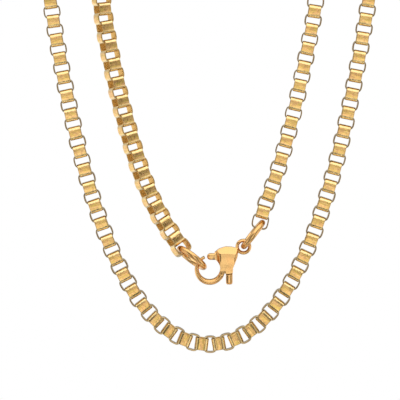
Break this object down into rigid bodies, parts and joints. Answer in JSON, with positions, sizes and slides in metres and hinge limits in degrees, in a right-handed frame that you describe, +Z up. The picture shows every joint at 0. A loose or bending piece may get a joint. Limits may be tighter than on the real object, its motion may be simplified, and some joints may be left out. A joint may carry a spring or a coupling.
{
  "type": "box chain necklace",
  "caption": "Gold box chain necklace with two jump rings and a lobster clasp, hanging in two nested loops as from two pegs.",
  "frame": {"origin": "midway between the two places that the necklace hangs on, on the line through their middles", "axes": "+X to the viewer's right, +Y away from the viewer, +Z up"},
  "size_m": [0.0676, 0.0064, 0.1018],
  "materials": {
    "chain_gold": "polished and finely brushed",
    "ring_gold": "polished",
    "clasp_gold": "polished"
  },
  "bodies": {
    "necklace": {"box_chain": "chain_gold", "jump_ring_left": "ring_gold", "jump_ring_right": "ring_gold", "clasp_body": "clasp_gold", "clasp_pin": "clasp_gold"},
    "lever": {"clasp_lever": "clasp_gold"}
  },
  "joints": [
    {"name": "lever_hinge", "type": "hinge", "parent": "necklace", "child": "lever", "pos_m": [0.00335, 0, -0.07551], "axis": [0, -1, 0], "range_deg": [0, 19], "stiffness_Nm_per_rad": 0.0001, "springref_deg": -5.73}
  ]
}
